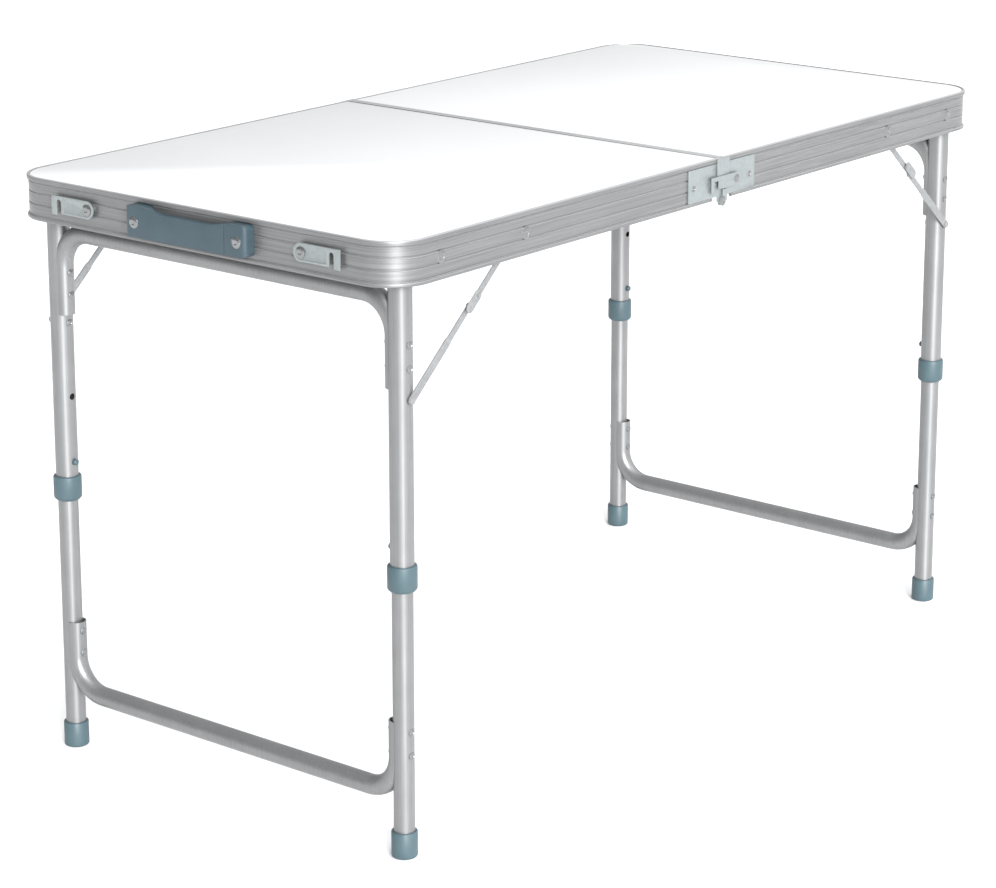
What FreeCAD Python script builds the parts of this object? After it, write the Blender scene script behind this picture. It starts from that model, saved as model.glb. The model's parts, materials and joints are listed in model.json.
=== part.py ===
import FreeCAD, Part
import Sketcher
import math
import os
import re

# Suitcase folding table: two leaves hinged at the middle, each with a folding, telescoping leg frame.
# Axes: X along the table, Y across it, Z up. The floor is z = 0 and the origin is under the centre.
# Every leaf part is drawn for leaf A, on the -X side. Leaf B is the same part turned 180 degrees about Z.

DIMENSIONS = {
    "table_length": 1224,
    "table_width": 612,
    "table_height": 736,
    "corner_radius": 52,
    "seam_gap": 0.3,
    "skirt_depth": 52.5,
    "bead_depth": 2.0,
    "wall_inner": 4.0,
    "top_bead_height": 6,
    "low_bead_height": 4.2,
    "bead_round": 1.2,
    "groove_one": 19,
    "groove_two": 33.3,
    "groove_half": 1.1,
    "groove_depth": 1.0,
    "ledge_reach": 14,
    "ledge_drop": 5.0,
    "ledge_thickness": 1.8,
    "board_thickness": 4.0,
    "board_clearance": 0.3,
    "rail_wall": 2.0,
    "rail_drop": 12.5,
    "rail_strip": 6.0,
    "rail_strip_thickness": 0.8,
    "rail_flange": 24,
    "leg_inset": 566,
    "leg_spread": 271.5,
    "pivot_height": 709.5,
    "leg_outer": 14,
    "leg_bore": 12.8,
    "leg_top": 720.5,
    "leg_bottom": 326,
    "foot_outer": 12.5,
    "foot_bore": 11.3,
    "foot_bottom": 4,
    "foot_top": 388,
    "collar_bottom": 323.5,
    "collar_height": 31,
    "collar_radius": 17.4,
    "collar_lip": 12.75,
    "cap_height": 32,
    "cap_radius": 15.5,
    "cap_round": 3,
    "cross_radius": 12,
    "cross_bore": 10.5,
    "cross_offset": 7.3,
    "cross_bend": 45,
    "upper_bar_height": 664.5,
    "upper_bar_end": 560,
    "lower_bar_height": 75.5,
    "lower_bar_end": 166,
    "saddle_gap": 0.05,
    "upper_rivet_top": 612,
    "upper_rivet_low": 584.5,
    "lower_rivet_top": 154.5,
    "lower_rivet_low": 126,
    "leg_rivet_radius": 2.5,
    "leg_head_radius": 5,
    "leg_head_height": 1.8,
    "button_height": 373,
    "spare_hole_step": 83,
    "button_radius": 3.8,
    "button_hole": 4.1,
    "button_root": 12.6,
    "button_length": 6.4,
    "button_dome": 1.6,
    "bracket_gap": 0.5,
    "bracket_wall": 2.0,
    "bracket_round": 7,
    "bracket_low": 9,
    "bracket_back": 20,
    "bracket_reach": 45,
    "bracket_rivet": 33,
    "pivot_pin_radius": 3,
    "pivot_hole_radius": 3.05,
    "pivot_head_radius": 4.5,
    "pivot_head_height": 1.2,
    "hook_head_radius": 6.8,
    "lever_head_radius": 5.5,
    "head_hollow": 0.45,
    "skirt_rivet_radius": 2.5,
    "skirt_head_radius": 8.2,
    "skirt_head_height": 2.0,
    "rivet_hole_radius": 2.55,
    "brace_drop": 160.5,
    "brace_reach": 183,
    "link_wall": 1.6,
    "lower_link_plane": 287.5,
    "upper_link_plane": 289.4,
    "link_wide": 10.5,
    "link_narrow": 8,
    "link_pin_radius": 2.5,
    "link_head_radius": 4.5,
    "lock_plane": 292,
    "lock_wall": 1.0,
    "lock_length": 31,
    "lock_height": 12.5,
    "lock_lift": 2.25,
    "lock_pivot": 17,
    "lock_pin_radius": 1.6,
    "hinge_drop": 54.5,
    "hinge_eye": 6,
    "hinge_pin_radius": 2.5,
    "hinge_head_radius": 6.2,
    "hinge_head_height": 1.0,
    "plate_length": 70,
    "plate_wall": 1.8,
    "plate_rivet": 59,
    "plate_rivet_drop": 30,
    "plate_head_radius": 4,
    "plate_head_height": 1.4,
    "notch_reach": 20,
    "joggle": 0.3,
    "ear_width": 9,
    "lever_pivot": 27,
    "lever_pivot_drop": 30.1,
    "lever_length": 54,
    "lever_prong": 6.3,
    "lever_slot": 8.4,
    "stud_reach": 16.5,
    "stud_drop": 31,
    "stud_radius": 2.5,
    "stud_head_radius": 2.9,
    "stud_head_height": 0.9,
    "lever_wall": 1.6,
    "hook_pivot": 169.5,
    "hook_pivot_drop": 26.5,
    "hook_length": 58.5,
    "hook_end_radius": 11,
    "hook_low": 10.5,
    "hook_wall": 1.8,
    "hook_slot_near": 42.5,
    "hook_slot_far": 49.5,
    "hook_stand_off": 4.2,
    "hook_rivet_radius": 3,
    "catch_spread": 172.5,
    "catch_drop": 36.5,
    "handle_length": 190,
    "handle_low": 692,
    "handle_rise": 37.2,
    "handle_depth": 16,
    "handle_grip": 8,
    "handle_block": 33,
    "handle_dip": 5.5,
    "handle_rivet": 81,
    "handle_rivet_drop": 26.5,
    "handle_head_radius": 7.2,
    "handle_round": 6,
    "handle_shoulder": 75,
    "handle_bend": 22,
}

TURNS = {"a": 0, "b": 180}
ALONG = {
    "+X": (FreeCAD.Vector(0, 1, 0), 90),
    "-X": (FreeCAD.Vector(0, 1, 0), -90),
    "+Y": (FreeCAD.Vector(1, 0, 0), -90),
    "-Y": (FreeCAD.Vector(1, 0, 0), 90),
    "+Z": (FreeCAD.Vector(0, 0, 1), 0),
}
NODE_LIMIT = 60

doc = FreeCAD.newDocument("folding_table")
sheet = doc.addObject("Spreadsheet::Sheet", "Dims")
for row, (alias, value) in enumerate(DIMENSIONS.items(), 1):
    sheet.set(f"A{row}", alias)
    sheet.set(f"B{row}", str(value))
    sheet.setAlias(f"B{row}", alias)
doc.recompute()

nodes = []


# ---- expressions and placement ----

def formula(text):
    """Turns dimension names in a text into references to the sheet."""
    return re.sub(r"[a-z_]+", lambda word: "Dims." + word[0] if word[0] in DIMENSIONS else word[0],
                  str(text))


def number(text):
    """The value of a formula, for a sketch's first positions."""
    value = sheet.evalExpression(formula(text))
    return float(getattr(value, "Value", value))


def bind(thing, **sizes):
    for name, text in sizes.items():
        thing.setExpression(name, formula(text))
    return thing


def place(thing, x=0, y=0, z=0, along="+Z"):
    axis, angle = ALONG[along]
    thing.Placement = FreeCAD.Placement(FreeCAD.Vector(), FreeCAD.Rotation(axis, angle))
    for letter, text in zip("xyz", (x, y, z)):
        thing.setExpression(f"Placement.Base.{letter}", formula(text))
    return thing


def tilt(thing, angle, x, z):
    """Stands a part drawn along +X at an angle above +X, with its own origin at x, z."""
    thing.Placement = FreeCAD.Placement(FreeCAD.Vector(),
                                        FreeCAD.Rotation(FreeCAD.Vector(0, -1, 0), number(angle)))
    thing.setExpression("Placement.Rotation.Angle", formula(angle))
    thing.setExpression("Placement.Base.x", formula(x))
    thing.setExpression("Placement.Base.z", formula(z))
    return thing


# ---- solids ----

def block(x, y, z, size_x, size_y, size_z):
    """A box by its centre and its sizes."""
    box = doc.addObject("Part::Box", "Block")
    bind(box, Length=size_x, Width=size_y, Height=size_z)
    return place(box, f"{x} - ({size_x}) / 2", f"{y} - ({size_y}) / 2", f"{z} - ({size_z}) / 2")


def rod(along, x, y, z, radius, length):
    """A cylinder by its centre, its radius and its length along X, Y or Z."""
    shape = doc.addObject("Part::Cylinder", "Rod")
    bind(shape, Radius=radius, Height=length)
    middle = {"X": x, "Y": y, "Z": z}
    middle[along] = f"{middle[along]} - ({length}) / 2"
    return place(shape, middle["X"], middle["Y"], middle["Z"], "+" + along)


def fuse(*parts):
    joined = doc.addObject("Part::MultiFuse", "Fused")
    joined.Shapes = list(parts)
    return joined


def cut(base, *tools):
    hollow = doc.addObject("Part::Cut", "Cut")
    hollow.Base = base
    hollow.Tool = tools[0] if len(tools) == 1 else fuse(*tools)
    return hollow


def node(label, leaf, *solids):
    """One sub-part: its solids in one labelled object, turned to its leaf."""
    group = doc.addObject("Part::Compound", "Node")
    group.Label = label
    group.Links = list(solids)
    turn = FreeCAD.Rotation(FreeCAD.Vector(0, 0, 1), TURNS[leaf])
    group.Placement = FreeCAD.Placement(FreeCAD.Vector(), turn)
    nodes.append(group)
    return group


# ---- sketches ----

def new_sketch(body, role, offset=0):
    sketch = body.newObject("Sketcher::SketchObject", "Sketch")
    plane = next(item for item in body.Origin.OriginFeatures if item.Role == role)
    sketch.AttachmentSupport = [(plane, "")]
    sketch.MapMode = "FlatFace"
    sketch.setExpression("AttachmentOffset.Base.z", formula(offset))
    return sketch


def pin_point(sketch, edge, end, x, y):
    """Ties one end of an edge to a place, given as two formulas."""
    for kind, axis, text in (("DistanceX", -2, x), ("DistanceY", -1, y)):
        value = number(text)
        if abs(value) < 1e-9:
            sketch.addConstraint(Sketcher.Constraint("PointOnObject", edge, end, axis))
        else:
            index = sketch.addConstraint(Sketcher.Constraint(kind, edge, end, value))
            sketch.setExpression(f"Constraints[{index}]", formula(text))


def trace(sketch, start, steps, closed=True):
    """Draws lines (x, y) and arcs (x, y, centre x, centre y, radius) from a start point."""
    here = start
    ends = []
    for step in steps + ([start] if closed and steps[-1][:2] != start else []):
        a = FreeCAD.Vector(number(here[0]), number(here[1]), 0)
        b = FreeCAD.Vector(number(step[0]), number(step[1]), 0)
        if len(step) == 2:
            edge = sketch.addGeometry(Part.LineSegment(a, b))
            ends.append((edge, 1, 2, here, step))
        else:
            centre = FreeCAD.Vector(number(step[2]), number(step[3]), 0)
            from_angle = math.atan2(a.y - centre.y, a.x - centre.x)
            to_angle = math.atan2(b.y - centre.y, b.x - centre.x)
            forward = (a - centre).cross(b - centre).z > 0
            first, last = (from_angle, to_angle) if forward else (to_angle, from_angle)
            circle = Part.Circle(centre, FreeCAD.Vector(0, 0, 1), number(step[4]))
            edge = sketch.addGeometry(Part.ArcOfCircle(circle, first, last))
            index = sketch.addConstraint(Sketcher.Constraint("Radius", edge, number(step[4])))
            sketch.setExpression(f"Constraints[{index}]", formula(step[4]))
            ends.append((edge, 1, 2, here, step) if forward else (edge, 2, 1, here, step))
        here = step[:2]
    for place_in_list, (edge, first_end, last_end, begin, finish) in enumerate(ends):
        pin_point(sketch, edge, first_end, *begin[:2])
        following = ends[(place_in_list + 1) % len(ends)]
        if place_in_list + 1 < len(ends) or closed:
            sketch.addConstraint(Sketcher.Constraint("Coincident", edge, last_end, following[0],
                                                     following[1]))
        else:
            pin_point(sketch, edge, last_end, *finish[:2])
    return sketch


def turned(start, steps):
    """A body turned about its own Z from a half outline of (radius, height) points."""
    body = doc.addObject("PartDesign::Body", "Turned")
    outline = trace(new_sketch(body, "XZ_Plane"), start, steps)
    feature = body.newObject("PartDesign::Revolution", "Revolution")
    feature.Profile = outline
    feature.ReferenceAxis = (outline, ["V_Axis"])
    feature.Angle = 360
    body.Tip = feature
    return body


def padded(role, start, steps, length):
    body = doc.addObject("PartDesign::Body", "Padded")
    outline = trace(new_sketch(body, role), start, steps)
    feature = body.newObject("PartDesign::Pad", "Pad")
    feature.Profile = outline
    bind(feature, Length=length)
    body.Tip = feature
    return body


def dome(radius, height):
    """The radius of the sphere that caps a head of this radius and height."""
    return f"(({radius})^2 + ({height})^2) / (2 * ({height}))"


def hollow_head(shank, head, height):
    """The outline of a tubular rivet's head below 0: a dished middle, a rolled rim and the shank."""
    cap = dome(head, height)
    rim = f"(head_hollow * ({head}))"
    floor = f"-({height}) * 0.35"
    return ("0", floor), [
        (f"{rim} * 0.7", floor),
        (rim, f"-({height}) + {cap} - sqrt(({cap})^2 - {rim}^2)"),
        (head, "0", "0", f"-({height}) + {cap}", cap),
        (shank, "0"),
    ]


def headed_pin(shank, length, head, height):
    """A rivet along its own +Z from 0 to length, with a hollow head below 0."""
    start, outline = hollow_head(shank, head, height)
    return turned(start, outline + [(shank, length), ("0", length)])


def double_headed_pin(shank, length, head, height):
    """A rivet along its own +Z from 0 to length, with a hollow head below 0 and a domed one above."""
    cap = dome(head, height)
    start, outline = hollow_head(shank, head, height)
    return turned(start, outline + [
        (shank, length),
        (head, length),
        ("0", f"{length} + {height}", "0", f"{length} + {height} - {cap}", cap),
    ])


# ---- places worked out from the driving dimensions ----

HALF_WIDTH = "table_width / 2"
END = "table_length / 2"
WALL_FACE = f"({HALF_WIDTH} - bead_depth)"
INNER_FACE = f"({HALF_WIDTH} - wall_inner)"
END_WALL = f"({END} - bead_depth)"
SKIRT_RIVET_HEIGHT = "pivot_height"
BRACE_LENGTH = "sqrt(brace_drop^2 + brace_reach^2)"
LOWER_LINK = f"(({BRACE_LENGTH} + brace_reach - brace_drop) / 2)"
BRACE_ANGLE = "atan(brace_drop / brace_reach)"
HINGE_HEIGHT = "(table_height - hinge_drop)"
LEDGE_UNDERSIDE = "(table_height - ledge_drop - ledge_thickness)"
CROWN = "(leg_spread - cross_offset - cross_radius)"
SIDES = ("-1", "1")
SIDE_NAMES = {"-1": "near", "1": "far"}


def outward(side):
    return "-Y" if side == "-1" else "+Y"


def inward(side):
    return "+Y" if side == "-1" else "-Y"


# ---- leaf parts ----

def skirt_profile(body):
    """The edge extrusion's section: top bead, wall with two grooves, ledge under the board, low bead."""
    def point(depth, drop):
        return (f"-{HALF_WIDTH} + {depth}", f"-({drop})")

    def groove(drop):
        return [
            point("bead_depth", f"{drop} + groove_half"),
            point("bead_depth + groove_depth", f"{drop} + groove_half / 2"),
            point("bead_depth + groove_depth", f"{drop} - groove_half / 2"),
            point("bead_depth", f"{drop} - groove_half"),
        ]

    steps = [
        point("bead_round", "0"),
        point("wall_inner - bead_round / 2", "0"),
        point("wall_inner", "bead_round / 2"),
        point("wall_inner", "ledge_drop"),
        point("ledge_reach", "ledge_drop"),
        point("ledge_reach", "ledge_drop + ledge_thickness"),
        point("wall_inner", "ledge_drop + ledge_thickness"),
        point("wall_inner", "skirt_depth - bead_round"),
        point("wall_inner - bead_round", "skirt_depth"),
        point("bead_round", "skirt_depth"),
        point("0", "skirt_depth - bead_round"),
        point("0", "skirt_depth - low_bead_height + bead_round / 2"),
        point("bead_round / 2", "skirt_depth - low_bead_height"),
        point("bead_depth", "skirt_depth - low_bead_height"),
    ]
    steps += groove("groove_two") + groove("groove_one")
    steps += [
        point("bead_depth", "top_bead_height"),
        point("bead_round / 2", "top_bead_height"),
        point("0", "top_bead_height - bead_round / 2"),
    ]
    return trace(new_sketch(body, "YZ_Plane", "-seam_gap"), point("0", "bead_round"), steps)


def skirt_frame(leaf, holes):
    """The extrusion bent round three sides of a leaf, with square ends at the seam."""
    body = doc.addObject("PartDesign::Body", "Skirt")
    path = trace(new_sketch(body, "XY_Plane"), ("-seam_gap", f"-{HALF_WIDTH}"), [
        (f"-{END} + corner_radius", f"-{HALF_WIDTH}"),
        (f"-{END}", f"-{HALF_WIDTH} + corner_radius",
         f"-{END} + corner_radius", f"-{HALF_WIDTH} + corner_radius", "corner_radius"),
        (f"-{END}", f"{HALF_WIDTH} - corner_radius"),
        (f"-{END} + corner_radius", HALF_WIDTH,
         f"-{END} + corner_radius", f"{HALF_WIDTH} - corner_radius", "corner_radius"),
        ("-seam_gap", HALF_WIDTH),
    ], closed=False)
    pipe = body.newObject("PartDesign::AdditivePipe", "Pipe")
    pipe.Profile = skirt_profile(body)
    pipe.Spine = (path, [])
    body.Tip = pipe
    place(body, z="table_height")
    notch_height = "low_bead_height + 0.8"
    notch = block("-notch_reach / 2", "0", "table_height - skirt_depth + low_bead_height / 2",
                  "notch_reach", "table_width + 10", notch_height)
    ledge_notch = block("-(rail_flange + 0.3) / 2", "0",
                        "table_height - ledge_drop - ledge_thickness / 2",
                        "rail_flange + 0.3", f"2 * {INNER_FACE}", "ledge_thickness + 1")
    crossing = [rod("Y", f"-{reach}", "0", height, radius, "table_width + 20") for reach, height,
                radius in (
        ("(leg_inset - bracket_rivet)", SKIRT_RIVET_HEIGHT, "rivet_hole_radius"),
        ("(leg_inset - brace_reach)", SKIRT_RIVET_HEIGHT, "rivet_hole_radius"),
        ("plate_rivet", "table_height - plate_rivet_drop", "rivet_hole_radius"),
    )]
    end_holes = [rod("X", f"-{END}", spread, height, radius, "20") for spread, height, radius in holes]
    return node(f"skirt_frame_{leaf}", leaf, cut(body, notch, ledge_notch, *crossing, *end_holes))


def table_board(leaf):
    inset = "(wall_inner + board_clearance)"
    radius = f"(corner_radius - {inset})"
    edge = f"({HALF_WIDTH} - {inset})"
    far = f"({END} - {inset})"
    seam = "-(seam_gap + rail_wall + board_clearance)"
    body = padded("XY_Plane", (seam, f"-{edge}"), [
        (f"-{far} + {radius}", f"-{edge}"),
        (f"-{far}", f"-{edge} + {radius}", f"-{far} + {radius}", f"-{edge} + {radius}", radius),
        (f"-{far}", f"{edge} - {radius}"),
        (f"-{far} + {radius}", edge, f"-{far} + {radius}", f"{edge} - {radius}", radius),
        (seam, edge),
    ], "board_thickness")
    return node(f"table_board_{leaf}", leaf, place(body, z="table_height - ledge_drop"))


def centre_rail(leaf):
    """The C-shaped rail that closes a leaf at the seam and holds the board's straight edge."""
    length = f"2 * ({INNER_FACE} - board_clearance)"
    web = block("-seam_gap - rail_wall / 2", "0", "table_height - rail_drop / 2 - 0.1",
                "rail_wall", length, "rail_drop - 0.2")
    strip = block("-seam_gap - rail_strip / 2", "0", "table_height - 0.1 - rail_strip_thickness / 2",
                  "rail_strip", length, "rail_strip_thickness")
    flange = block("-seam_gap - rail_flange / 2 + seam_gap / 2", "0",
                   "table_height - ledge_drop - ledge_thickness / 2",
                   "rail_flange - seam_gap", length, "ledge_thickness")
    return node(f"centre_rail_{leaf}", leaf, fuse(web, strip, flange))


def leg_bracket(side):
    """A bracket over a leg's top: two cheeks and a web, and a boss for its rivet through the skirt."""
    cheek_top = f"{LEDGE_UNDERSIDE}"
    cheek_low = "(pivot_height - bracket_low)"
    height = f"({cheek_top} - {cheek_low})"
    middle = f"({cheek_top} + {cheek_low}) / 2"
    outer = f"{side} * (leg_spread + leg_outer + bracket_gap + bracket_wall / 2)"
    inner = f"{side} * (leg_spread - leg_outer - bracket_gap - bracket_wall / 2)"
    outer_end = "(leg_inset - bracket_reach)"
    inner_end = "(leg_inset - bracket_back)"
    tail = "(leg_inset + bracket_round)"
    face = "(leg_spread + leg_outer + bracket_gap + bracket_wall)"
    span = "(2 * (leg_outer + bracket_gap + bracket_wall))"
    body = fuse(
        block(f"-({tail} + {outer_end}) / 2", outer, middle, f"{tail} - {outer_end}", "bracket_wall",
              height),
        block(f"-({tail} + {inner_end}) / 2", inner, middle, f"{tail} - {inner_end}", "bracket_wall",
              height),
        block(f"-({tail} + {inner_end}) / 2", f"{side} * leg_spread", f"{cheek_top} - bracket_wall / 2",
              f"{tail} - {inner_end}", span, "bracket_wall"),
        rod("Y", "-(leg_inset - bracket_rivet)", f"{side} * ({face} + {INNER_FACE}) / 2",
            SKIRT_RIVET_HEIGHT,
            "bracket_round", f"{INNER_FACE} - {face}"),
    )
    return cut(
        body,
        rod("Y", "-leg_inset", f"{side} * leg_spread", "pivot_height", "pivot_hole_radius",
            f"{span} + 4"),
        rod("Y", "-(leg_inset - bracket_rivet)", f"{side} * {face}", SKIRT_RIVET_HEIGHT,
            "rivet_hole_radius", "40"),
    )


def skirt_rivets(leaf):
    """The rivets through the side skirts: leg bracket, upper brace pivot with its spacer, hinge plate."""
    solids = []
    for side in SIDES:
        wall = f"{side} * {WALL_FACE}"
        bracket = headed_pin("skirt_rivet_radius",
                             f"{WALL_FACE} - (leg_spread + leg_outer + bracket_gap)",
                             "skirt_head_radius", "skirt_head_height")
        solids.append(place(bracket, "-(leg_inset - bracket_rivet)", wall, SKIRT_RIVET_HEIGHT,
                            inward(side)))
        brace = headed_pin("skirt_rivet_radius", f"{WALL_FACE} - (upper_link_plane - link_wall / 2)",
                           "skirt_head_radius", "skirt_head_height")
        place(brace, "-(leg_inset - brace_reach)", wall, SKIRT_RIVET_HEIGHT, inward(side))
        spacer_start = "(upper_link_plane + link_wall / 2 + 0.2)"
        spacer = rod("Y", "-(leg_inset - brace_reach)", f"{side} * ({spacer_start} + {INNER_FACE}) / 2",
                     SKIRT_RIVET_HEIGHT, "hinge_eye", f"{INNER_FACE} - {spacer_start}")
        solids.append(fuse(brace, spacer))
        plate = double_headed_pin("skirt_rivet_radius", "plate_wall + wall_inner - bead_depth",
                                  "plate_head_radius", "plate_head_height")
        solids.append(place(plate, "-plate_rivet", f"{side} * ({WALL_FACE} + plate_wall)",
                            "table_height - plate_rivet_drop", inward(side)))
    return node(f"skirt_rivets_{leaf}", leaf, *solids)


def hinge_plate(side, outer_eye):
    """A centre hinge plate on the skirt wall. One leaf's eye lies in the plate, the other's outside it."""
    plane = f"{side} * ({WALL_FACE} + plate_wall / 2)"
    layer = f"{side} * ({WALL_FACE} + plate_wall * 1.5 + joggle)"
    step = f"{side} * ({WALL_FACE} + plate_wall + joggle / 2)"
    top = "(table_height - top_bead_height - 0.5)"
    low = "(table_height - skirt_depth + low_bead_height + 0.4)"
    near_seam = "(seam_gap + 0.1)"
    parts = [block(f"-({near_seam} + plate_length) / 2", plane, f"({top} + {low}) / 2",
                   f"plate_length - {near_seam}", "plate_wall", f"{top} - {low}")]
    holes = [rod("Y", "-plate_rivet", plane, "table_height - plate_rivet_drop", "rivet_hole_radius",
                 "10"),
             rod("Y", "0", plane, HINGE_HEIGHT, "hinge_pin_radius + 0.05", "20")]
    eye_plane = layer if outer_eye else plane
    ear_top = f"({low} + 8)" if outer_eye else f"({low} + 1)"
    ear_low = HINGE_HEIGHT
    parts.append(rod("Y", "0", eye_plane, HINGE_HEIGHT, "hinge_eye", "plate_wall"))
    parts.append(block("-ear_width / 2", eye_plane, f"({ear_top} + {ear_low}) / 2",
                       "ear_width", "plate_wall", f"{ear_top} - {ear_low}"))
    if outer_eye:
        tab_low = "(table_height - 24.2)"
        tab_top = "(table_height - 0.5)"
        parts.append(block("-ear_width * 0.65", step, f"{low} + 6", "ear_width * 0.7", "joggle + 0.2",
                           "6"))
        parts.append(block("0", layer, f"({tab_low} + {tab_top}) / 2", "25", "plate_wall",
                           f"{tab_top} - {tab_low}"))
        parts.append(block("-ear_width * 0.65", step, f"{tab_low} + 6", "ear_width * 0.7",
                           "joggle + 0.2", "10"))
        holes.append(rod("Y", "-lever_pivot", plane, "table_height - lever_pivot_drop",
                         "hook_rivet_radius", "10"))
    else:
        holes.append(rod("Y", "-stud_reach", plane, "table_height - stud_drop", "stud_radius", "10"))
    return cut(fuse(*parts), *holes)


def hinge_pins():
    """Pins through both eyes, on the fold axis."""
    length = "(plate_wall * 2 + joggle * 2)"
    solids = []
    for side in SIDES:
        pin = double_headed_pin("hinge_pin_radius", f"{length} + 0.2", "hinge_head_radius",
                                "hinge_head_height")
        solids.append(place(pin, "0", f"{side} * ({WALL_FACE} - 0.2 + {length} + 0.1)", HINGE_HEIGHT,
                            inward(side)))
    return node("hinge_pins", "a", *solids)


def lock_studs():
    """Headed studs on leaf A's hinge plates, behind the lock levers' slots."""
    reach = "(plate_wall * 2 + joggle - stud_head_height)"
    solids = []
    for side in SIDES:
        stud = headed_pin("stud_radius", reach, "stud_head_radius", "stud_head_height")
        solids.append(place(stud, "-stud_reach", f"{side} * ({WALL_FACE} + {reach})",
                            "table_height - stud_drop", inward(side)))
    return node("lock_studs", "a", *solids)


LEVER_PLANE = f"({WALL_FACE} + plate_wall * 2 + joggle * 2 + lever_wall / 2)"


def lock_lever(side):
    """A lever on leaf B's hinge plate whose slotted end drops over leaf A's stud."""
    x = "-lever_pivot"
    z = "(table_height - lever_pivot_drop)"
    y = f"{side} * {LEVER_PLANE}"
    body = fuse(
        rod("Y", x, y, f"{z} + 0.2", "8", "lever_wall"),
        block(f"{x} + lever_length / 2", y, f"{z} + 0.2", "lever_length", "lever_wall", "16"),
        block(f"{x} + lever_length - lever_prong / 2", y, f"{z} - 1.55", "lever_prong", "lever_wall",
              "19.5"),
    )
    slot = cut(
        body,
        block(f"{x} + lever_length - lever_prong - lever_slot / 2", y, f"{z} - 5.2", "lever_slot", "10",
              "16"),
        rod("Y", x, y, z, "hook_rivet_radius + 0.05", "10"),
    )
    return node(f"lock_lever_{'far' if side == '-1' else 'near'}", "b", slot)


def lever_rivets():
    """Shouldered rivets that the lock levers turn on."""
    shoulder = "(plate_wall + joggle * 2 - 0.2)"
    solids = []
    for side in SIDES:
        x = "-lever_pivot"
        z = "table_height - lever_pivot_drop"
        reach = "(plate_wall * 2 + joggle * 2 + lever_wall + 0.1)"
        pin = headed_pin("hook_rivet_radius", reach, "lever_head_radius", "plate_head_height")
        place(pin, x, f"{side} * ({WALL_FACE} + {reach})", z, inward(side))
        collar = rod("Y", x, f"{side} * ({WALL_FACE} + plate_wall + {shoulder} / 2)", z,
                     "pivot_head_radius", shoulder)
        solids.append(fuse(pin, collar))
    return node("lever_rivets", "b", *solids)


# ---- end fittings ----

def closing_hook(side):
    """A plate hook on leaf A's end skirt, slotted for a stud on leaf B's end when the case is shut."""
    x = f"-({END_WALL} + hook_stand_off + hook_wall / 2)"
    z = "(table_height - hook_pivot_drop)"
    pivot = f"{side} * hook_pivot"
    height = "(hook_end_radius + hook_low)"
    middle = f"{z} + (hook_end_radius - hook_low) / 2"
    far_prong = "(hook_length - hook_slot_far)"
    body = fuse(
        rod("X", x, pivot, z, "hook_end_radius", "hook_wall"),
        block(x, f"{pivot} + {side} * hook_length / 2", middle, "hook_wall", "hook_length", height),
        block(x, f"{pivot} + {side} * (hook_slot_far + {far_prong} / 2)", f"{middle} - 1", "hook_wall",
              far_prong,
              f"{height} + 2"),
    )
    slot_middle = f"{pivot} + {side} * (hook_slot_near + hook_slot_far) / 2"
    slot_half = "(hook_slot_far - hook_slot_near) / 2"
    recess = f"({x} - hook_wall / 2)"
    panel = fuse(
        block(recess, f"{pivot} + {side} * 20", middle, "1.0", "36", f"{height} - 5"),
        rod("X", recess, pivot, z, "hook_end_radius - 2.4", "1.0"),
    )
    slotted = cut(
        body,
        block(x, slot_middle, f"{z} - 5", "10", f"2 * {slot_half}", "16"),
        rod("X", x, slot_middle, f"{z} + 3", slot_half, "10"),
        rod("X", x, pivot, z, "hook_rivet_radius + 0.05", "10"),
        panel,
    )
    return node(f"closing_hook_{SIDE_NAMES[side]}", "a", slotted)


def hook_rivets():
    solids = []
    for side in SIDES:
        reach = "(hook_stand_off + hook_wall + 0.1)"
        z = "table_height - hook_pivot_drop"
        pin = double_headed_pin("hook_rivet_radius", f"{reach} + wall_inner - bead_depth",
                                "hook_head_radius",
                                "plate_head_height")
        place(pin, f"-({END_WALL} + {reach})", f"{side} * hook_pivot", z, "+X")
        washer = rod("X", f"-({END_WALL} + (hook_stand_off - 0.1) / 2)", f"{side} * hook_pivot", z,
                     "hook_end_radius - 3",
                     "hook_stand_off - 0.1")
        solids.append(fuse(pin, washer))
    return node("hook_rivets", "a", *solids)


def catch_studs():
    """Headed studs on leaf B's end skirt that the closing hooks catch."""
    solids = []
    for side in SIDES:
        reach = "(hook_stand_off + hook_wall + 0.4)"
        pin = double_headed_pin("skirt_rivet_radius", f"{reach} + wall_inner - bead_depth",
                                "plate_head_radius + 0.5",
                                "plate_head_height")
        solids.append(place(pin, f"-({END_WALL} + {reach})", f"{side} * catch_spread",
                            "table_height - catch_drop", "+X"))
    return node("catch_studs", "b", *solids)


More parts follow.
